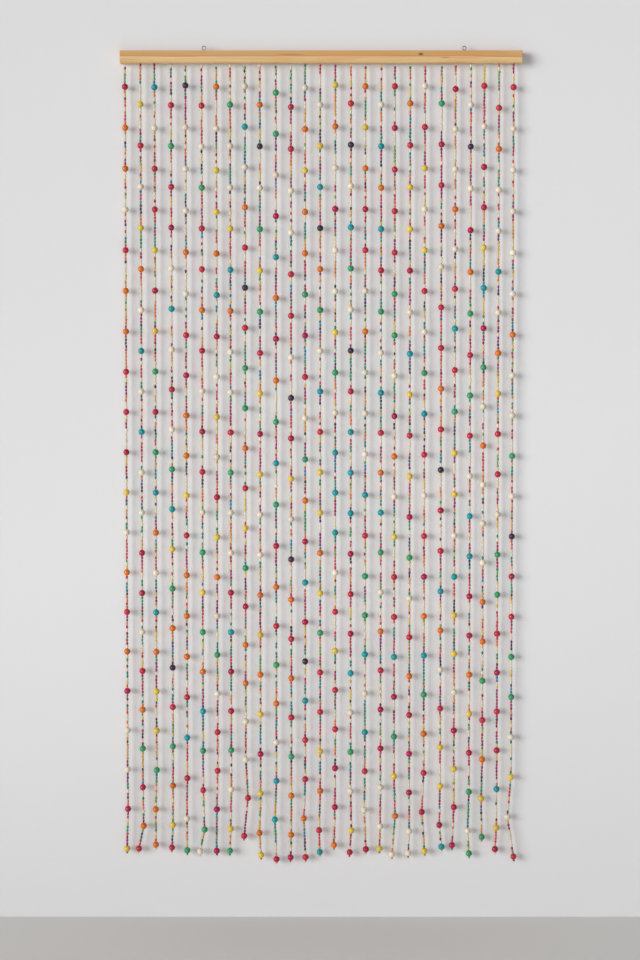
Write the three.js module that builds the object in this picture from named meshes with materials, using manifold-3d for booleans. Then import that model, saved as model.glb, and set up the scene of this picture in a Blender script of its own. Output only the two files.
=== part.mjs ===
// Bead curtain on a wooden bar. A planed pine bar hangs by two screw eyes in its top edge, and
// strands of large round beads, spaced by runs of small oblong beads, hang from holes in its underside.
// Millimetres, +Z up, +X to the viewer's right, -Y into the room. The origin is the centre of the
// bar's back face, which lies against the wall.
import * as THREE from 'three';
import { mergeVertices } from 'three/addons/utils/BufferGeometryUtils.js';
import Module from 'manifold-3d';

const BAR_LENGTH = 900;
const BAR_DEPTH = 24;
const BAR_HEIGHT = 27;
const BAR_CHAMFER = 1;
const BAR_TOP = BAR_HEIGHT / 2;
const BAR_UNDERSIDE = -BAR_HEIGHT / 2;
const BAR_MIDDLE_Y = -BAR_DEPTH / 2;

// A round hole in the bar is drilled a little wider than the string or shank that sits in it.
const SEAT_GAP = 0.35;
const HOLE_SIDES = 8;

const EYE_WIRE_RADIUS = 1;
const EYE_RING_RADIUS = 4.3;
const EYE_RING_HEIGHT = 6.9;
const EYE_RING_STEPS = 14;
const EYE_WIRE_SIDES = 6;
const EYE_SHANK_DEPTH = 13;
const EYE_POINT_LENGTH = 3;

// Each screw eye: its name, its place along the bar, and how far its ring is turned from facing front.
const EYES = [
  { name: 'screw_eye_left', x: -262, turnDegrees: 0 },
  { name: 'screw_eye_right', x: 321, turnDegrees: 20 },
];

const STRAND_PITCH = 33.5;
const STRAND_SIDES = 3;
const STRING_RADIUS = 1;
const STRING_ROOT_DEPTH = 12;
const STRING_BARE_LENGTH = 1.5;
const SMALL_BEAD_SHOULDER = 1;
const SMALL_BEAD_RADIUS = 2.7;
const LARGE_BEADS = 20;

// The spacing of the large beads differs a little between the thirds of a strand.
const THIRDS = ['upper', 'middle', 'lower'];
const PITCHES_IN_A_THIRD = 6;

// A large bead is faceted as two triangles turned half a step from each other, with a neck at each end.
const LARGE_BEAD_RADIUS = 8.4;
const LARGE_BEAD_BELT = 3.2;
const LARGE_BEAD_NECK = 7;
const STOP_BEAD_DROP = 10.8;

// One row for each strand, from left to right, in millimetres.
// hole: how far its hole is off the even spacing; first: drop from the bar to the first large bead;
// upper, middle and lower: large bead to large bead in each third of the strand;
// last: drop from the bead before the end to the end bead;
// kink and tip: sideways shift of those two beads from plumb.
const STRANDS = [
  { hole: -4.0, first: 52, upper: 91.2, middle: 90.7, lower: 89.9, last: 91, kink: 0.5, tip: -2.0 },
  { hole: -3.0, first: 91, upper: 92.0, middle: 91.2, lower: 88.6, last: 52, kink: 1.5, tip: -9.5 },
  { hole: -5.0, first: 53, upper: 90.9, middle: 91.0, lower: 89.9, last: 81, kink: -2.5, tip: -2.5 },
  { hole: -1.5, first: 93, upper: 91.1, middle: 90.1, lower: 89.9, last: 52, kink: -0.5, tip: -3.0 },
  { hole: -2.5, first: 49, upper: 93.1, middle: 90.4, lower: 92.5, last: 73, kink: -1.0, tip: -0.5 },
  { hole: 0.0, first: 94, upper: 91.4, middle: 91.1, lower: 90.2, last: 50, kink: 3.0, tip: -7.0 },
  { hole: -0.5, first: 52, upper: 93.1, middle: 90.6, lower: 88.3, last: 95, kink: -2.0, tip: -2.5 },
  { hole: -3.0, first: 92, upper: 92.2, middle: 90.7, lower: 89.8, last: 51, kink: -1.5, tip: -3.5 },
  { hole: -3.5, first: 51, upper: 90.0, middle: 90.4, lower: 87.4, last: 87, kink: 5.0, tip: -4.0 },
  { hole: -3.5, first: 92, upper: 92.6, middle: 91.2, lower: 90.6, last: 50, kink: -2.5, tip: 1.0 },
  { hole: -1.0, first: 65, upper: 91.8, middle: 93.5, lower: 88.4, last: 91, kink: -3.5, tip: 0.0 },
  { hole: -0.5, first: 97, upper: 93.4, middle: 91.3, lower: 89.5, last: 52, kink: -0.5, tip: -2.0 },
  { hole: -2.5, first: 54, upper: 92.4, middle: 93.0, lower: 89.7, last: 89, kink: -3.0, tip: 0.5 },
  { hole: -2.0, first: 92, upper: 91.8, middle: 91.3, lower: 90.2, last: 50, kink: -2.5, tip: -1.0 },
  { hole: -1.5, first: 48, upper: 92.2, middle: 90.4, lower: 89.2, last: 87, kink: -0.5, tip: -2.5 },
  { hole: 0.0, first: 89, upper: 92.2, middle: 91.8, lower: 89.9, last: 50, kink: 2.0, tip: -2.0 },
  { hole: -1.0, first: 51, upper: 91.4, middle: 92.1, lower: 88.9, last: 90, kink: -1.5, tip: 2.5 },
  { hole: 1.0, first: 92, upper: 92.5, middle: 90.2, lower: 89.1, last: 51, kink: -0.5, tip: -2.0 },
  { hole: -2.0, first: 51, upper: 92.8, middle: 91.0, lower: 90.9, last: 88, kink: 3.0, tip: -4.0 },
  { hole: -1.0, first: 89, upper: 93.4, middle: 92.1, lower: 88.7, last: 50, kink: 0.5, tip: -1.5 },
  { hole: -1.5, first: 50, upper: 91.7, middle: 92.2, lower: 89.4, last: 90, kink: -4.0, tip: 2.5 },
  { hole: 2.5, first: 89, upper: 91.2, middle: 91.7, lower: 88.9, last: 50, kink: -1.5, tip: 3.5 },
  { hole: 0.0, first: 57, upper: 89.3, middle: 93.4, lower: 87.6, last: 87, kink: 0.5, tip: -3.5 },
  { hole: 1.0, first: 92, upper: 93.4, middle: 90.9, lower: 89.2, last: 52, kink: -2.5, tip: 0.5 },
  { hole: -2.5, first: 50, upper: 90.3, middle: 88.2, lower: 89.7, last: 88, kink: -2.0, tip: -0.5 },
  { hole: -3.0, first: 99, upper: 91.5, middle: 91.0, lower: 88.7, last: 49, kink: -0.5, tip: -3.0 },
  { hole: -4.0, first: 53, upper: 92.3, middle: 91.0, lower: 91.4, last: 91, kink: -7.5, tip: 6.5 },
];

const PINE = new THREE.MeshStandardMaterial({ color: 0xd6aa6e, roughness: 0.6, metalness: 0 });
const PLATED_STEEL = new THREE.MeshStandardMaterial({ color: 0x929496, roughness: 0.3, metalness: 1 });
const BEAD_COLOURS = [0xd93a4e, 0xe3c02c, 0x2fa36b, 0xf07a1a, 0xf2e4c8, 0x1c9cc0, 0xc21e5c];

const wasm = await Module();
wasm.setup();

// A closed solid from a geometry, with its shared vertices merged for cutting and joining.
function solidOf(geometry) {
  const bare = geometry.clone();
  bare.deleteAttribute('normal');
  bare.deleteAttribute('uv');
  const merged = mergeVertices(bare, 1e-4);
  const vertProperties = new Float32Array(merged.getAttribute('position').array);
  const triVerts = new Uint32Array(merged.index.array);
  return new wasm.Manifold(new wasm.Mesh({ numProp: 3, vertProperties, triVerts }));
}

function geometryOf(solid) {
  const mesh = solid.getMesh();
  const geometry = new THREE.BufferGeometry();
  geometry.setAttribute('position', new THREE.BufferAttribute(mesh.vertProperties, 3));
  geometry.setIndex(new THREE.BufferAttribute(mesh.triVerts, 1));
  geometry.computeVertexNormals();
  return geometry;
}

function strandX(index) {
  const middle = (STRANDS.length - 1) / 2;
  return (index - middle) * STRAND_PITCH + STRANDS[index].hole;
}

// A blind hole that runs from a mouth just outside the bar to its floor.
function drilledHole(radius, x, mouthZ, floorZ) {
  const hole = new THREE.CylinderGeometry(radius, radius, Math.abs(mouthZ - floorZ), HOLE_SIDES);
  hole.rotateX(Math.PI / 2);
  hole.translate(x, BAR_MIDDLE_Y, (mouthZ + floorZ) / 2);
  return solidOf(hole);
}

// The bar: a rectangle with eased corners, drawn along its length with eased ends, then drilled.
function barGeometry() {
  const y = BAR_DEPTH / 2;
  const z = BAR_HEIGHT / 2;
  const c = BAR_CHAMFER;
  const section = new THREE.Shape();
  section.moveTo(-y + c, -z);
  section.lineTo(y - c, -z);
  section.lineTo(y, -z + c);
  section.lineTo(y, z - c);
  section.lineTo(y - c, z);
  section.lineTo(-y + c, z);
  section.lineTo(-y, z - c);
  section.lineTo(-y, -z + c);
  section.closePath();
  const blank = new THREE.ExtrudeGeometry(section, {
    depth: BAR_LENGTH - 2 * c,
    bevelEnabled: true,
    bevelThickness: c,
    bevelSize: c,
    bevelOffset: -c,
    bevelSegments: 1,
  });
  blank.translate(0, 0, -BAR_LENGTH / 2 + c);
  blank.rotateY(Math.PI / 2);
  blank.rotateX(Math.PI / 2);
  blank.translate(0, BAR_MIDDLE_Y, 0);
  let bar = solidOf(blank);

  const overrun = 1;
  STRANDS.forEach((strand, index) => {
    const floorZ = BAR_UNDERSIDE + STRING_ROOT_DEPTH + SEAT_GAP;
    const hole = drilledHole(STRING_RADIUS + SEAT_GAP, strandX(index), BAR_UNDERSIDE - overrun, floorZ);
    bar = bar.subtract(hole);
  });
  EYES.forEach((eye) => {
    const floorZ = BAR_TOP - EYE_SHANK_DEPTH - SEAT_GAP;
    const pilot = drilledHole(EYE_WIRE_RADIUS + SEAT_GAP, eye.x, BAR_TOP + overrun, floorZ);
    bar = bar.subtract(pilot);
  });
  return geometryOf(bar);
}

// A screw eye: a ring of wire on a straight shank that ends in a point inside the bar.
// Its ring is centred on the origin and faces the front.
function screwEyeGeometry() {
  const ring = new THREE.TorusGeometry(EYE_RING_RADIUS, EYE_WIRE_RADIUS, EYE_WIRE_SIDES, EYE_RING_STEPS);
  ring.rotateX(Math.PI / 2);
  const shankTop = -EYE_RING_RADIUS;
  const pointTip = -EYE_RING_HEIGHT - EYE_SHANK_DEPTH;
  const pointStart = pointTip + EYE_POINT_LENGTH;
  const profile = [
    new THREE.Vector2(0, pointTip),
    new THREE.Vector2(EYE_WIRE_RADIUS, pointStart),
    new THREE.Vector2(EYE_WIRE_RADIUS, shankTop),
    new THREE.Vector2(0, shankTop),
  ];
  const shank = new THREE.LatheGeometry(profile, HOLE_SIDES);
  shank.rotateX(Math.PI / 2);
  return geometryOf(solidOf(ring).add(solidOf(shank)));
}

// A closed skin over three-cornered rings listed from the top down.
function loft(rings) {
  const positions = [];
  const faces = [];
  rings.forEach((ring) => {
    for (let corner = 0; corner < STRAND_SIDES; corner += 1) {
      const angle = ring.turn + (corner * 2 * Math.PI) / STRAND_SIDES;
      positions.push(ring.x + ring.radius * Math.cos(angle), ring.radius * Math.sin(angle), ring.z);
    }
  });
  for (let level = 0; level < rings.length - 1; level += 1) {
    for (let corner = 0; corner < STRAND_SIDES; corner += 1) {
      const next = (corner + 1) % STRAND_SIDES;
      const upper = level * STRAND_SIDES;
      const lower = upper + STRAND_SIDES;
      faces.push(upper + corner, lower + corner, upper + next);
      faces.push(lower + corner, lower + next, upper + next);
    }
  }
  const foot = (rings.length - 1) * STRAND_SIDES;
  faces.push(0, 1, 2);
  faces.push(foot, foot + 2, foot + 1);
  const geometry = new THREE.BufferGeometry();
  geometry.setAttribute('position', new THREE.Float32BufferAttribute(positions, 3));
  geometry.setIndex(faces);
  geometry.computeVertexNormals();
  return geometry;
}

// One strand below the bar, from its root in the bar to its stop bead, about its own plumb line.
function strandGeometry(strand) {
  const rings = [];
  const beadStep = Math.PI / STRAND_SIDES;
  let turn = -Math.PI / 2;
  const addRing = (x, z, radius) => rings.push({ x, z, radius, turn });

  addRing(0, STRING_ROOT_DEPTH, STRING_RADIUS);
  addRing(0, -STRING_BARE_LENGTH, STRING_RADIUS);
  addRing(0, -STRING_BARE_LENGTH - SMALL_BEAD_SHOULDER, SMALL_BEAD_RADIUS);
  let x = 0;
  let z = -strand.first;
  for (let bead = 0; bead < LARGE_BEADS; bead += 1) {
    addRing(x, z + LARGE_BEAD_NECK, SMALL_BEAD_RADIUS);
    addRing(x, z + LARGE_BEAD_BELT, LARGE_BEAD_RADIUS);
    turn += beadStep;
    addRing(x, z - LARGE_BEAD_BELT, LARGE_BEAD_RADIUS);
    addRing(x, z - LARGE_BEAD_NECK, SMALL_BEAD_RADIUS);
    const beadsLeft = LARGE_BEADS - 1 - bead;
    if (beadsLeft === 2) {
      x = strand.kink;
    }
    if (beadsLeft > 1) {
      const third = THIRDS[Math.floor(bead / PITCHES_IN_A_THIRD)];
      z -= strand[third];
    }
    if (beadsLeft === 1) {
      x = strand.tip;
      z -= strand.last;
    }
  }
  addRing(x, z - STOP_BEAD_DROP, SMALL_BEAD_RADIUS);
  return loft(rings);
}

const curtain = new THREE.Group();

const bar = new THREE.Mesh(barGeometry(), PINE);
bar.name = 'bar';
curtain.add(bar);

EYES.forEach((eye) => {
  const mesh = new THREE.Mesh(screwEyeGeometry(), PLATED_STEEL);
  mesh.name = eye.name;
  mesh.position.set(eye.x, BAR_MIDDLE_Y, BAR_TOP + EYE_RING_HEIGHT);
  mesh.rotation.z = THREE.MathUtils.degToRad(eye.turnDegrees);
  curtain.add(mesh);
});

STRANDS.forEach((strand, index) => {
  const color = BEAD_COLOURS[index % BEAD_COLOURS.length];
  const lacquer = new THREE.MeshStandardMaterial({ color, roughness: 0.3, metalness: 0 });
  const mesh = new THREE.Mesh(strandGeometry(strand), lacquer);
  mesh.name = `strand_${String(index + 1).padStart(2, '0')}`;
  mesh.position.set(strandX(index), BAR_MIDDLE_Y, BAR_UNDERSIDE);
  curtain.add(mesh);
});

export default curtain;
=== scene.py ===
import math
import bmesh
import bpy
import numpy as np
from mathutils import Matrix, Vector


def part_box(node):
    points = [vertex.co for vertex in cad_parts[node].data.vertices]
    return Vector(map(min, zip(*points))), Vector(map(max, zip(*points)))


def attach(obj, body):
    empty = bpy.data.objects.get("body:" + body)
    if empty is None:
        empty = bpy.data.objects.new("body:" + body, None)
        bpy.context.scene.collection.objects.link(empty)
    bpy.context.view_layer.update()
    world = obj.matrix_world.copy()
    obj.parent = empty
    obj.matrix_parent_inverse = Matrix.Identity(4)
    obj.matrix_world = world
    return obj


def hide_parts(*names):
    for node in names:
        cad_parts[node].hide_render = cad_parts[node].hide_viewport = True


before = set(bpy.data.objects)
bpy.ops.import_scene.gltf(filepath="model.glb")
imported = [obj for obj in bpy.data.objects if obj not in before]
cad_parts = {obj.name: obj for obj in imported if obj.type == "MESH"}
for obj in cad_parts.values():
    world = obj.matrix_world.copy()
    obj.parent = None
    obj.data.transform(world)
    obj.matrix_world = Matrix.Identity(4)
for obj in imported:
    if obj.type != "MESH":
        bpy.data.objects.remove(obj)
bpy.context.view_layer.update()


# The view: the curtain seen from the room, square on, from a little above half its height.
# A long lens looks down by a couple of degrees, so the strands draw slightly together at the foot.
LENS_MM = 75
SENSOR_HEIGHT_MM = 36
LOOK_DOWN = math.radians(2.386)
camera = bpy.data.objects.new("view", bpy.data.cameras.new("view"))
bpy.context.scene.collection.objects.link(camera)
camera.data.lens = LENS_MM
camera.data.sensor_fit = "VERTICAL"
camera.data.sensor_height = SENSOR_HEIGHT_MM
camera.location = (-0.0024, -4.527, -0.7594)
camera.rotation_euler = (math.pi / 2 - LOOK_DOWN, 0, 0)
bpy.context.scene.camera = camera


# The bar: a planed pine batten with eased edges, drilled up from below for each string and down from
# above for the screw eyes. It is flat-sawn, so its growth rings run along the face as long bands.
MM = 0.001
bar_low, bar_high = (Vector(corner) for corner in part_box("bar"))
bar_middle = (bar_low + bar_high) / 2
BAR_EASING = 0.5 * MM
STRAND_NAMES = sorted(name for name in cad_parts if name.startswith("strand_"))
EYE_NAMES = ("screw_eye_left", "screw_eye_right")


def linear(hex_colour):
    """An sRGB hex colour as linear RGBA."""
    channels = [int(hex_colour[i:i + 2], 16) / 255 for i in (1, 3, 5)]
    return tuple(c / 12.92 if c <= 0.04045 else ((c + 0.055) / 1.055) ** 2.4 for c in channels) + (1.0,)


def add_node(tree, kind, inputs=(), **settings):
    """Adds a node, sets its properties, and fills its sockets with values or links."""
    node = tree.nodes.new(kind)
    for name, value in settings.items():
        setattr(node, name, value)
    for socket, value in dict(inputs).items():
        if isinstance(value, bpy.types.NodeSocket):
            tree.links.new(value, node.inputs[socket])
        else:
            node.inputs[socket].default_value = value
    return node


def finished_piece(name, mesh, material, slot, *nodes):
    """Puts a mesh in the scene as a piece of the curtain, in place of the nodes it stands for."""
    piece = bpy.data.objects.new(name, mesh)
    bpy.context.scene.collection.objects.link(piece)
    mesh.materials.append(material)
    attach(piece, "root")
    if nodes:
        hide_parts(*nodes)
    return piece


def ring_levels(name):
    """A strand's sections from the top down: each one's middle and how far its corners stand out."""
    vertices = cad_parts[name].data.vertices
    corners = np.zeros(len(vertices) * 3)
    vertices.foreach_get("co", corners)
    corners = np.unique(corners.reshape(-1, 3).round(6), axis=0)
    corners = corners[np.argsort(-corners[:, 2], kind="stable")].reshape(-1, 3, 3)
    middles = corners.mean(axis=1)
    reach = np.linalg.norm(corners - middles[:, None], axis=2).max(axis=1)
    return middles, reach


strands = {name: ring_levels(name) for name in STRAND_NAMES}

cutter = bmesh.new()
HOLE_RADIUS = 1.35 * MM
HOLE_SIDES = 16
for name in STRAND_NAMES + list(EYE_NAMES):
    low, high = (Vector(corner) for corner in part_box(name))
    if name in EYE_NAMES:
        x, mouth, floor_z = (low.x + high.x) / 2, bar_high.z + MM, low.z
    else:
        top = strands[name][0][0]
        x, mouth, floor_z = top[0], bar_low.z - MM, top[2]
    place = Matrix.Translation((x, bar_middle.y, (mouth + floor_z) / 2))
    bmesh.ops.create_cone(cutter, cap_ends=True, segments=HOLE_SIDES, radius1=HOLE_RADIUS,
                          radius2=HOLE_RADIUS, depth=abs(mouth - floor_z), matrix=place)
cutter_mesh = bpy.data.meshes.new("drill")
cutter.to_mesh(cutter_mesh)
cutter.free()
drill = bpy.data.objects.new("drill", cutter_mesh)
bpy.context.scene.collection.objects.link(drill)

blank = bmesh.new()
bmesh.ops.create_cube(blank, size=1)
bmesh.ops.scale(blank, vec=bar_high - bar_low, verts=blank.verts)
bmesh.ops.translate(blank, vec=bar_middle, verts=blank.verts)
bmesh.ops.bevel(blank, geom=blank.edges[:], offset=BAR_EASING, segments=3, profile=0.5,
                affect="EDGES", material=-1)
blank_mesh = bpy.data.meshes.new("bar_blank")
blank.to_mesh(blank_mesh)
blank.free()
drilled = bpy.data.objects.new("bar_blank", blank_mesh)
bpy.context.scene.collection.objects.link(drilled)
drilling = drilled.modifiers.new("drilling", "BOOLEAN")
drilling.operation = "DIFFERENCE"
drilling.solver = "EXACT"
drilling.object = drill
graph = bpy.context.evaluated_depsgraph_get()
bar_mesh = bpy.data.meshes.new_from_object(drilled.evaluated_get(graph))
bar_mesh.name = "pine_bar"
bpy.data.objects.remove(drilled)
bpy.data.objects.remove(drill)

# Planed pine: pale early wood and a darker edge of late wood in each ring, redder heartwood above one
# ring, the underside painted paler as painted light thrown up from the floor, fine fibres along the length,
# and a small dark knot with streaks of resin.
RING_SPACING = 14.6 * MM
HEARTWOOD_RADIUS = 5 * RING_SPACING
PITH = Vector((0, 20 * MM, 58.2 * MM))
PITH_SLOPE = 0.0025
RING_WANDER = 7 * MM
FIBRE_WIDTH = 1.7 * MM
FIBRE_LENGTH = 130 * MM
KNOT = Vector((223 * MM, bar_low.y, 5.3 * MM))
KNOT_SIZE = Vector((6 * MM, 14 * MM, 3.4 * MM))
STREAK = Vector((277 * MM, bar_low.y, -2.2 * MM))
STREAK_SIZE = Vector((13 * MM, 5 * MM, 0.9 * MM))
FLAME = Vector((-70 * MM, bar_low.y, 4.5 * MM))
FLAME_SIZE = Vector((34 * MM, 6 * MM, 2.4 * MM))
pine = bpy.data.materials.new("planed_pine")
pine.use_nodes = True
tree = pine.node_tree
shader = tree.nodes["Principled BSDF"]
place = add_node(tree, "ShaderNodeTexCoord").outputs["Object"]
drift_place = add_node(tree, "ShaderNodeMapping", {"Vector": place, "Scale": (4, 25, 25)})
drift = add_node(tree, "ShaderNodeTexNoise",
                 {"Vector": drift_place.outputs[0], "Scale": 1.0, "Detail": 2.0})
tilt = add_node(tree, "ShaderNodeMapping", {"Vector": place, "Rotation": (0, -PITH_SLOPE, 0)})
across = add_node(tree, "ShaderNodeMapping",
                  {"Vector": tilt.outputs[0], "Scale": (0, 1, 1), "Location": -PITH})
radius = add_node(tree, "ShaderNodeVectorMath", {0: across.outputs[0]}, operation="LENGTH")
wander = add_node(tree, "ShaderNodeMath",
                  {0: drift.outputs["Fac"], 1: RING_WANDER, 2: radius.outputs["Value"]},
                  operation="MULTIPLY_ADD")
radius = add_node(tree, "ShaderNodeMath", {0: wander.outputs[0], 1: RING_WANDER / 2}, operation="SUBTRACT")
turns = add_node(tree, "ShaderNodeMath", {0: radius.outputs[0], 1: RING_SPACING}, operation="DIVIDE")
ring = add_node(tree, "ShaderNodeMath", {0: turns.outputs[0]}, operation="FRACT")
season = add_node(tree, "ShaderNodeValToRGB", {"Fac": ring.outputs[0]})
season.color_ramp.elements[0].color = linear("#E8C997")
season.color_ramp.elements[1].color = linear("#C48F50")
for position, colour in ((0.5, "#E6C48E"), (0.8, "#E2BD85"), (0.96, "#CD9B5A")):
    season.color_ramp.elements.new(position).color = linear(colour)
heart = add_node(tree, "ShaderNodeMapRange",
                 {"Value": radius.outputs[0], "From Min": HEARTWOOD_RADIUS - 0.5 * MM,
                  "From Max": HEARTWOOD_RADIUS, "To Min": 0.5, "To Max": 0.0})
wood = add_node(tree, "ShaderNodeMix",
                {0: heart.outputs[0], 6: season.outputs["Color"], 7: linear("#CB8F4E")}, data_type="RGBA")
height = add_node(tree, "ShaderNodeSeparateXYZ", {0: place})
# Painted light: the underside and the lowest edge of the front are painted paler (#F6D598), standing for
# light thrown up from the floor.
painted_underside_light = add_node(tree, "ShaderNodeMapRange",
                   {"Value": height.outputs["Z"], "From Min": bar_low.z + 0.2 * MM,
                    "From Max": bar_low.z + 0.8 * MM, "To Min": 0.75, "To Max": 0.0})
wood = add_node(tree, "ShaderNodeMix",
                {0: painted_underside_light.outputs[0], 6: wood.outputs[2], 7: linear("#F6D598")}, data_type="RGBA")
fibre_place = add_node(tree, "ShaderNodeMapping",
                       {"Vector": place, "Scale": (1 / FIBRE_LENGTH, 1 / FIBRE_WIDTH, 1 / FIBRE_WIDTH)})
fibre = add_node(tree, "ShaderNodeTexNoise",
                 {"Vector": fibre_place.outputs[0], "Scale": 1.0, "Detail": 4.0, "Roughness": 0.6})
fibre_tone = add_node(tree, "ShaderNodeMapRange",
                      {"Value": fibre.outputs["Fac"], "From Min": 0.38, "From Max": 0.66,
                       "To Min": 0.0, "To Max": 0.5})
wood = add_node(tree, "ShaderNodeMix",
                {0: fibre_tone.outputs[0], 6: wood.outputs[2], 7: linear("#BC8647")}, data_type="RGBA")
warmth = add_node(tree, "ShaderNodeMapRange",
                  {"Value": drift.outputs["Fac"], "From Min": 0.5, "From Max": 0.72,
                   "To Min": 0.0, "To Max": 0.5})
wood = add_node(tree, "ShaderNodeMix",
                {0: warmth.outputs[0], 6: wood.outputs[2], 7: linear("#D2924E")}, data_type="RGBA")
for centre, size, colour, depth in (
        (FLAME, FLAME_SIZE, "#A8703A", 0.45), (KNOT, KNOT_SIZE, "#7A4A22", 0.95),
        (STREAK, STREAK_SIZE, "#8A5526", 0.85)):
    scale = Vector((1 / size.x, 1 / size.y, 1 / size.z))
    shift = Vector((-centre.x * scale.x, -centre.y * scale.y, -centre.z * scale.z))
    spot = add_node(tree, "ShaderNodeMapping", {"Vector": place, "Scale": scale, "Location": shift})
    away = add_node(tree, "ShaderNodeVectorMath", {0: spot.outputs[0]}, operation="LENGTH")
    mark = add_node(tree, "ShaderNodeMapRange",
                    {"Value": away.outputs["Value"], "From Min": 0.35, "From Max": 1.3,
                     "To Min": depth, "To Max": 0.0}, interpolation_type="SMOOTHSTEP")
    wood = add_node(tree, "ShaderNodeMix", {0: mark.outputs[0], 6: wood.outputs[2], 7: linear(colour)},
                    data_type="RGBA")
polish = add_node(tree, "ShaderNodeMapRange",
                  {"Value": fibre.outputs["Fac"], "To Min": 0.45, "To Max": 0.68})
relief = add_node(tree, "ShaderNodeBump",
                  {"Height": fibre.outputs["Fac"], "Strength": 0.35, "Distance": 0.15 * MM})
tree.links.new(wood.outputs[2], shader.inputs["Base Color"])
tree.links.new(polish.outputs[0], shader.inputs["Roughness"])
tree.links.new(relief.outputs[0], shader.inputs["Normal"])
shader.inputs["IOR"].default_value = 1.5
finished_piece("pine_bar", bar_mesh, pine, "pine", "bar")


# The screw eyes: zinc-plated wire gone dull, bent into a ring that closes on its own neck, with a shank
# that is turned into the bar's top edge by hand, so the two rings don't face quite the same way.
WIRE_RADIUS = 1.0 * MM
RING_RADIUS = 4.3 * MM
RING_START = math.radians(-62)
RING_GAP = 0.32
RING_SWEEP = math.radians(332) - RING_GAP
RING_STEPS = 40
NECK_BEND = 1.5 * MM
NECK_STEPS = 6
POINT_LENGTH = 3 * MM
WIRE_SIDES = 12
zinc = bpy.data.materials.new("zinc_plated_wire")
zinc.use_nodes = True
tree = zinc.node_tree
shader = tree.nodes["Principled BSDF"]
place = add_node(tree, "ShaderNodeTexCoord").outputs["Object"]
spangle = add_node(tree, "ShaderNodeTexNoise", {"Vector": place, "Scale": 1 / (1.5 * MM), "Detail": 2.0})
sheen = add_node(tree, "ShaderNodeMapRange",
                 {"Value": spangle.outputs["Fac"], "To Min": 0.2, "To Max": 0.42})
tint = add_node(tree, "ShaderNodeMix",
                {0: spangle.outputs["Fac"], 6: linear("#7C7D80"), 7: linear("#A9AAAC")}, data_type="RGBA")
tree.links.new(tint.outputs[2], shader.inputs["Base Color"])
tree.links.new(sheen.outputs[0], shader.inputs["Roughness"])
shader.inputs["Metallic"].default_value = 1.0


def wire_mesh(name, points, radius, sides):
    """A round wire or string along a line of points, as a closed mesh."""
    line = bpy.data.curves.new(name, "CURVE")
    line.dimensions = "3D"
    line.bevel_depth = radius
    line.bevel_resolution = (sides - 4) // 2
    line.use_fill_caps = True
    spline = line.splines.new("POLY")
    spline.points.add(len(points) - 1)
    for point, spot in zip(spline.points, points):
        point.co = (*spot, 1)
    holder = bpy.data.objects.new(name, line)
    mesh = bpy.data.meshes.new_from_object(holder)
    mesh.name = name
    bpy.data.objects.remove(holder)
    bpy.data.curves.remove(line)
    return mesh


for name in EYE_NAMES:
    low, high = (Vector(corner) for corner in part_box(name))
    centre = Vector(((low.x + high.x) / 2, (low.y + high.y) / 2, high.z - RING_RADIUS - WIRE_RADIUS))
    width = high.x - low.x
    turn = math.acos(min(1.0, (width / 2 - WIRE_RADIUS) / RING_RADIUS))
    route = []
    for step in range(RING_STEPS + 1):
        angle = RING_START + RING_SWEEP * step / RING_STEPS
        route.append(Vector((RING_RADIUS * math.cos(angle), 0, RING_RADIUS * math.sin(angle))))
    bend_start = route[-1]
    for step in range(1, NECK_STEPS + 1):
        blend = step / NECK_STEPS
        route.append(Vector((bend_start.x * (1 - blend) ** 2, 0,
                             bend_start.z - NECK_BEND * blend * (0.35 + 0.65 * blend))))
    route.append(Vector((0, 0, low.z - centre.z + POINT_LENGTH)))
    spin = Matrix.Translation(centre) @ Matrix.Rotation(turn, 4, "Z")
    eye_mesh = wire_mesh(name, [spin @ spot for spot in route], WIRE_RADIUS, WIRE_SIDES)
    eye_mesh.shade_smooth()
    finished_piece(f"{name}_wire", eye_mesh, zinc, "plated_steel", name)


# The beads: turned wood, sprayed in bright lacquers and strung on cotton. Each strand carries large
# round beads about a hand's breadth apart, with a run of small oblong beads between each two.
LARGE_RADIUS = 7.4 * MM
LARGE_BORE = 1.5 * MM
LARGE_HALF = math.sqrt(LARGE_RADIUS ** 2 - LARGE_BORE ** 2)
LARGE_SIDES = 10
SMALL_RADIUS = 2.45 * MM
SMALL_BORE = 0.8 * MM
SMALL_LENGTH = 7.6 * MM
SMALL_SIDES = 8
STOP_LENGTH = 3.4 * MM
rng = np.random.default_rng(27)


def turned_bead(profile, steps):
    """A turned bead with its bore: an outer profile of (radius, height) from rim to rim, spun round."""
    shape = bmesh.new()
    corners = [shape.verts.new((radius, 0, height)) for radius, height in profile]
    for first, second in zip(corners, corners[1:] + corners[:1]):
        shape.edges.new((first, second))
    bmesh.ops.spin(shape, geom=shape.verts[:] + shape.edges[:], cent=(0, 0, 0), axis=(0, 0, 1),
                   angle=2 * math.pi, steps=steps, use_merge=True)
    bmesh.ops.remove_doubles(shape, verts=shape.verts, dist=1e-6)
    bmesh.ops.recalc_face_normals(shape, faces=shape.faces)
    shape.verts.index_update()
    vertices = np.array([vertex.co for vertex in shape.verts])
    faces = np.array([[vertex.index for vertex in face.verts] for face in shape.faces])
    shape.free()
    return vertices, faces


arc = [math.radians(angle) for angle in (35, 62, 90, 118, 145)]
large_profile = [(LARGE_BORE, LARGE_HALF)]
large_profile += [(LARGE_RADIUS * math.sin(angle), LARGE_RADIUS * math.cos(angle)) for angle in arc]
large_profile += [(LARGE_BORE, -LARGE_HALF)]
large_bead = turned_bead(large_profile, LARGE_SIDES)

half = SMALL_LENGTH / 2
small_profile = [(SMALL_BORE, half - 0.15 * MM), (1.7 * MM, half - 0.5 * MM), (SMALL_RADIUS, 1.3 * MM)]
small_profile += [(radius, -height) for radius, height in reversed(small_profile)]
small_bead = turned_bead(small_profile, SMALL_SIDES)

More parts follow.
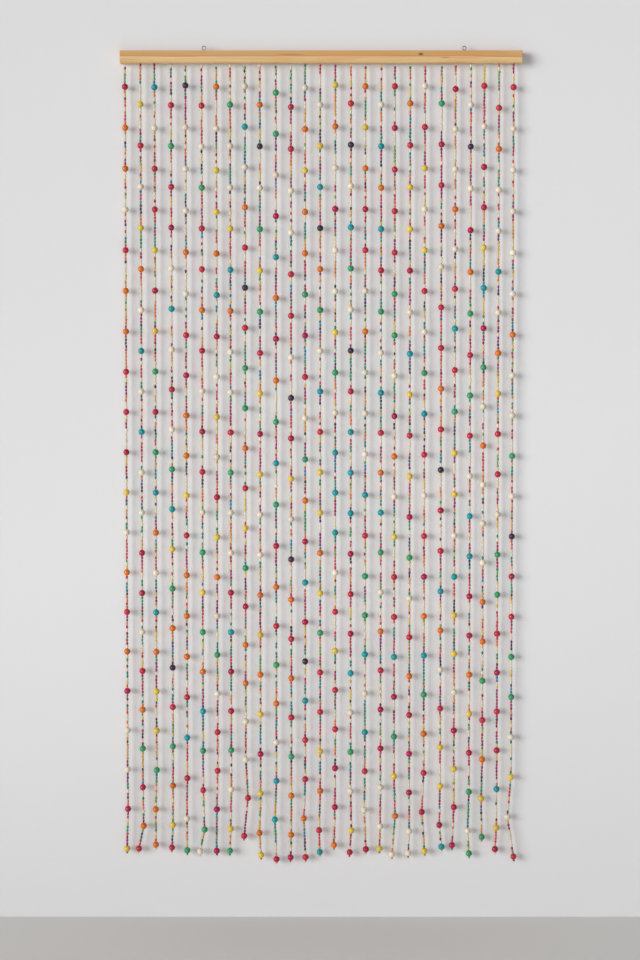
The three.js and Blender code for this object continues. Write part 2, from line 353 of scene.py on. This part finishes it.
# Lacquer colours and how often each is drawn, for the large beads and for the small ones.
LARGE_COLOURS = {
    "#EDDFC6": 24, "#C6243E": 19, "#B60E46": 9, "#E07208": 14, "#E8C644": 11, "#349E66": 12,
    "#009AA4": 10, "#3C2842": 2,
}
SMALL_COLOURS = {
    "#E6D6B6": 26, "#D8A04E": 9, "#DC7C30": 11, "#CC4348": 11, "#A81C50": 13, "#96206A": 4, "#552650": 6,
    "#DDBE4A": 9, "#7E9A48": 5, "#379060": 8, "#15827C": 8, "#2280A8": 2, "#2A3044": 2,
}


def drawn_colours(colours, count, keep):
    """A random run of linear colours, in which each bead keeps the last one's colour now and then."""
    names = list(colours)
    odds = np.array([colours[name] for name in names], float)
    drawn = rng.choice(len(names), size=count, p=odds / odds.sum())
    for index in np.flatnonzero(rng.random(count) < keep):
        drawn[index] = drawn[index - 1] if index else drawn[index]
    tones = np.array([linear(name) for name in names])[drawn]
    tones[:, :3] *= rng.normal(1.0, 0.05, (count, 1)).clip(0.85, 1.15)
    return tones


def strung_beads(bead, middles, ways, stretch, tilt, tones):
    """Copies a bead to each place along the string, a little askew, with its paint and its own grain."""
    vertices, faces = bead
    count = len(middles)
    spin = rng.uniform(0, 2 * math.pi, count)
    lean = rng.normal(0, tilt, (count, 2))
    ups = ways + np.stack([lean[:, 0], lean[:, 1], np.zeros(count)], axis=1)
    ups /= np.linalg.norm(ups, axis=1, keepdims=True)
    sides = np.stack([np.cos(spin), np.sin(spin), np.zeros(count)], axis=1)
    sides -= ups * (sides * ups).sum(axis=1, keepdims=True)
    sides /= np.linalg.norm(sides, axis=1, keepdims=True)
    others = np.cross(ups, sides)
    axes = np.stack([sides, others, ups], axis=2) * stretch[:, None, :]
    spots = np.einsum("nij,vj->nvi", axes, vertices) + middles[:, None]
    shift = rng.uniform(-1, 1, (count, 1, 3)) * np.array([1, 1, 0])
    grain = np.broadcast_to(vertices, spots.shape) + shift
    step = np.arange(count)[:, None, None] * len(vertices)
    paint = np.repeat(tones, len(vertices), axis=0)
    return spots.reshape(-1, 3), (faces[None] + step).reshape(-1, 4), paint, grain.reshape(-1, 3)


GRAIN_WIDTH = 0.9 * MM
GRAIN_LENGTH = 5 * MM


def bead_lacquer(name, roughness, wear_start, wear_end):
    """Sprayed lacquer on turned wood: grain shows faintly through, and the rims of the bore are rubbed."""
    material = bpy.data.materials.new(name)
    material.use_nodes = True
    tree = material.node_tree
    shader = tree.nodes["Principled BSDF"]
    paint = add_node(tree, "ShaderNodeAttribute", attribute_name="bead_paint").outputs["Color"]
    place = add_node(tree, "ShaderNodeAttribute", attribute_name="bead_grain").outputs["Vector"]
    along = add_node(tree, "ShaderNodeMapping",
                     {"Vector": place, "Scale": (1 / GRAIN_WIDTH, 1 / GRAIN_WIDTH, 1 / GRAIN_LENGTH)})
    grain = add_node(tree, "ShaderNodeTexNoise",
                     {"Vector": along.outputs[0], "Scale": 1.0, "Detail": 3.0, "Roughness": 0.6})
    shade = add_node(tree, "ShaderNodeMapRange",
                     {"Value": grain.outputs["Fac"], "From Min": 0.3, "From Max": 0.75,
                      "To Min": 1.0, "To Max": 0.82})
    toned = add_node(tree, "ShaderNodeVectorMath", {0: paint, 1: shade.outputs[0]}, operation="MULTIPLY")
    height = add_node(tree, "ShaderNodeSeparateXYZ", {0: place})
    from_middle = add_node(tree, "ShaderNodeMath", {0: height.outputs["Z"]}, operation="ABSOLUTE")
    ragged = add_node(tree, "ShaderNodeMath",
                      {0: grain.outputs["Fac"], 1: 1.2 * MM, 2: from_middle.outputs[0]},
                      operation="MULTIPLY_ADD")
    rubbed = add_node(tree, "ShaderNodeMapRange",
                      {"Value": ragged.outputs[0], "From Min": wear_start, "From Max": wear_end,
                       "To Min": 0.0, "To Max": 0.7})
    worn = add_node(tree, "ShaderNodeMix",
                    {0: rubbed.outputs[0], 6: toned.outputs["Vector"], 7: linear("#C9A878")},
                    data_type="RGBA")
    gloss = add_node(tree, "ShaderNodeMapRange",
                     {"Value": grain.outputs["Fac"], "To Min": roughness * 0.8, "To Max": roughness * 1.3})
    relief = add_node(tree, "ShaderNodeBump",
                      {"Height": grain.outputs["Fac"], "Strength": 0.15, "Distance": 0.1 * MM})
    tree.links.new(worn.outputs[2], shader.inputs["Base Color"])
    tree.links.new(gloss.outputs[0], shader.inputs["Roughness"])
    tree.links.new(relief.outputs[0], shader.inputs["Normal"])
    shader.inputs["IOR"].default_value = 1.5
    return material


large_lacquer = bead_lacquer("gloss_lacquer_on_wood", 0.24, LARGE_HALF, LARGE_HALF + 0.6 * MM)
small_lacquer = bead_lacquer("satin_lacquer_on_wood", 0.36, half, half + 0.5 * MM)

# The string: white cotton twist, knotted inside the bar at the top and under a stop bead at the end.
STRING_RADIUS = 0.55 * MM
STRING_SIDES = 8
KNOT_RADIUS = 1.15 * MM
KNOT_SINK = 0.6
TAIL_LENGTH = 2.5 * MM
TWIST_PITCH = 1.4 * MM
cotton = bpy.data.materials.new("twisted_cotton_string")
cotton.use_nodes = True
tree = cotton.node_tree
shader = tree.nodes["Principled BSDF"]
place = add_node(tree, "ShaderNodeTexCoord").outputs["Object"]
slant = add_node(tree, "ShaderNodeMapping", {"Vector": place, "Rotation": (0, math.radians(35), 0)})
ply = add_node(tree, "ShaderNodeTexWave",
               {"Vector": slant.outputs[0], "Scale": math.pi / 10 / TWIST_PITCH, "Distortion": 1.0,
                "Detail": 1.0}, wave_type="BANDS", bands_direction="Z")
thread = add_node(tree, "ShaderNodeMix",
                  {0: ply.outputs["Fac"], 6: linear("#CFC2A6"), 7: linear("#F1E8D6")}, data_type="RGBA")
lay = add_node(tree, "ShaderNodeBump", {"Height": ply.outputs["Fac"], "Strength": 0.5, "Distance": 0.2 * MM})
tree.links.new(thread.outputs[2], shader.inputs["Base Color"])
tree.links.new(lay.outputs[0], shader.inputs["Normal"])
shader.inputs["Roughness"].default_value = 0.9
shader.inputs["Sheen Weight"].default_value = 0.3

# Each strand: its large beads sit at the solid's swellings, and a whole number of small beads fills the
# string between each two. Small beads have some play on the string, and no two are quite alike.
BEAD_BELT = 5 * MM
SMALL_PLAY = 0.22 * MM
SMALL_UNEVENNESS, LARGE_UNEVENNESS = 0.07, 0.02
SMALL_TILT, LARGE_TILT = 0.05, 0.06
SMALL_KEEP, LARGE_KEEP = 0.25, 0.0
for name in STRAND_NAMES:
    middles, reach = strands[name]
    belts = middles[reach > BEAD_BELT]
    large_middles = (belts[0::2] + belts[1::2]) / 2
    count = len(large_middles)
    knots = np.vstack([[[large_middles[0, 0], large_middles[0, 1], bar_low.z]], large_middles])
    small_middles, small_ways, small_stretch = [], [], []
    for stretch in range(count):
        start, end = knots[stretch], knots[stretch + 1]
        way = (end - start) / np.linalg.norm(end - start)
        near = 0.0 if stretch == 0 else LARGE_HALF
        room = np.linalg.norm(end - start) - near - LARGE_HALF
        if stretch == 0:
            number = int(room / SMALL_LENGTH + 0.05)
            length = min(SMALL_LENGTH, room / number)
            near = room - number * length
        else:
            number = round(room / SMALL_LENGTH)
            length = room / number
        along = near + length * (np.arange(number) + 0.5)
        small_middles.append(start + way * along[:, None])
        small_ways.append(np.repeat(-way[None], number, axis=0))
        small_stretch.append(np.full(number, length / SMALL_LENGTH))
    last_way = (knots[-1] - knots[-2]) / np.linalg.norm(knots[-1] - knots[-2])
    hang = (last_way + np.array([0, 0, -1.0])) / 2
    stop = large_middles[-1] + hang * (LARGE_HALF + STOP_LENGTH / 2)
    small_middles.append(stop[None])
    small_ways.append(-hang[None])
    small_stretch.append(np.array([STOP_LENGTH / SMALL_LENGTH]))
    small_middles = np.vstack(small_middles)
    small_ways = np.vstack(small_ways)
    lengthwise = np.concatenate(small_stretch)
    total = len(small_middles)
    small_middles += rng.normal(0, SMALL_PLAY, (total, 3)) * np.array([1, 1, 0])
    girth = rng.normal(1.0, SMALL_UNEVENNESS, total).clip(0.82, 1.15)
    small = strung_beads(small_bead, small_middles, small_ways,
                         np.stack([girth, girth, lengthwise], axis=1), SMALL_TILT,
                         drawn_colours(SMALL_COLOURS, total, SMALL_KEEP))
    large_ways = np.repeat([[0, 0, 1.0]], count, axis=0)
    plump = rng.normal(1.0, LARGE_UNEVENNESS, count)
    large = strung_beads(large_bead, large_middles, large_ways,
                         np.stack([plump, plump, np.ones(count)], axis=1), LARGE_TILT,
                         drawn_colours(LARGE_COLOURS, count, LARGE_KEEP))
    spots = np.vstack([large[0], small[0]])
    faces = np.vstack([large[1], small[1] + len(large[0])])
    bead_mesh = bpy.data.meshes.new(f"{name}_beads")
    bead_mesh.from_pydata(spots, [], faces)
    bead_mesh.materials.append(large_lacquer)
    lacquers = np.repeat([0, 1], [len(large[1]), len(small[1])]).astype(np.int32)
    bead_mesh.polygons.foreach_set("material_index", lacquers)
    paint = bead_mesh.attributes.new("bead_paint", "FLOAT_COLOR", "POINT")
    paint.data.foreach_set("color", np.vstack([large[2], small[2]]).ravel())
    grain = bead_mesh.attributes.new("bead_grain", "FLOAT_VECTOR", "POINT")
    grain.data.foreach_set("vector", np.vstack([large[3], small[3]]).ravel())
    bead_mesh.shade_smooth()
    finished_piece(f"{name}_beads", bead_mesh, small_lacquer, "beads", name)

    end_knot = large_middles[-1] + hang * (LARGE_HALF + STOP_LENGTH)
    route = np.vstack([middles[:1], knots, end_knot[None], (end_knot + hang * TAIL_LENGTH)[None]])
    string_mesh = wire_mesh(f"{name}_string", route, STRING_RADIUS, STRING_SIDES)
    string = bmesh.new()
    string.from_mesh(string_mesh)
    lump = Matrix.Translation(Vector(end_knot + hang * KNOT_RADIUS * KNOT_SINK))
    bmesh.ops.create_icosphere(string, subdivisions=2, radius=KNOT_RADIUS, matrix=lump)
    string.to_mesh(string_mesh)
    string.free()
    string_mesh.shade_smooth()
    finished_piece(f"{name}_string", string_mesh, cotton, "beads")


# The set: a matt pale backdrop just behind the bar and a pale floor a hand below the strands' ends.
# The backdrop shows from its front only, so the curtain can be seen from behind as well.
FLOOR_Z = -1.948
BACKDROP_Y = 0.003
SET_WIDTH, SET_HEIGHT, SET_DEPTH = 8.0, 4.5, 8.0
backdrop_paint = bpy.data.materials.new("matt_backdrop")
backdrop_paint.use_nodes = True
tree = backdrop_paint.node_tree
shader = tree.nodes["Principled BSDF"]
shader.inputs["Base Color"].default_value = linear("#E5E5E6")
shader.inputs["Roughness"].default_value = 0.9
shader.inputs["Specular IOR Level"].default_value = 0.2
side = add_node(tree, "ShaderNodeNewGeometry").outputs["Backfacing"]
clear = add_node(tree, "ShaderNodeBsdfTransparent")
one_sided = add_node(tree, "ShaderNodeMixShader", {0: side, 1: shader.outputs[0], 2: clear.outputs[0]})
tree.links.new(one_sided.outputs[0], tree.nodes["Material Output"].inputs["Surface"])
floor_paint = bpy.data.materials.new("matt_floor")
floor_paint.use_nodes = True
floor_shader = floor_paint.node_tree.nodes["Principled BSDF"]
floor_shader.inputs["Base Color"].default_value = linear("#ECEAE7")
floor_shader.inputs["Roughness"].default_value = 0.8
for name, paint, turn, spot in (
        ("backdrop", backdrop_paint, math.pi / 2, (0, BACKDROP_Y, FLOOR_Z + SET_HEIGHT / 2)),
        ("floor", floor_paint, 0, (0, BACKDROP_Y - SET_DEPTH / 2, FLOOR_Z))):
    sheet = bmesh.new()
    bmesh.ops.create_grid(sheet, x_segments=1, y_segments=1, size=0.5)
    bmesh.ops.scale(sheet, vec=(SET_WIDTH, SET_HEIGHT if turn else SET_DEPTH, 1), verts=sheet.verts)
    bmesh.ops.rotate(sheet, matrix=Matrix.Rotation(turn, 3, "X"), verts=sheet.verts)
    bmesh.ops.translate(sheet, vec=spot, verts=sheet.verts)
    mesh = bpy.data.meshes.new(name)
    sheet.to_mesh(mesh)
    sheet.free()
    mesh.materials.append(paint)
    stage = bpy.data.objects.new(name, mesh)
    bpy.context.scene.collection.objects.link(stage)

# The light: a wide window on the left and a little above, a weak broad lamp in front on the right, a
# weaker one low down that stands for light thrown back by the room's floor, and an even pale room.
WINDOW_WAY = Vector((0.78, 0.62, -0.09))
window = bpy.data.objects.new("window", bpy.data.lights.new("window", "SUN"))
bpy.context.scene.collection.objects.link(window)
window.data.energy = 2.5
window.data.angle = math.radians(32)
window.rotation_euler = WINDOW_WAY.to_track_quat("-Z", "Y").to_euler()
for name, spot, aim, size, power in (
        ("front_lamp", (1.0, -5.4, 0.4), (0, 0, -1.1), 2.5, 26),
        ("floor_glow", (-0.4, -2.2, -1.93), (0, 0, -1.5), 2.4, 11)):
    lamp = bpy.data.objects.new(name, bpy.data.lights.new(name, "AREA"))
    bpy.context.scene.collection.objects.link(lamp)
    lamp.data.size = size
    lamp.data.energy = power
    lamp.location = spot
    lamp.rotation_euler = (Vector(aim) - Vector(spot)).to_track_quat("-Z", "Y").to_euler()
room = bpy.data.worlds.new("pale_room")
bpy.context.scene.world = room
room.use_nodes = True
room.node_tree.nodes["Background"].inputs["Color"].default_value = linear("#F4F4F5")
room.node_tree.nodes["Background"].inputs["Strength"].default_value = 0.25
bpy.context.scene.view_settings.view_transform = "Standard"
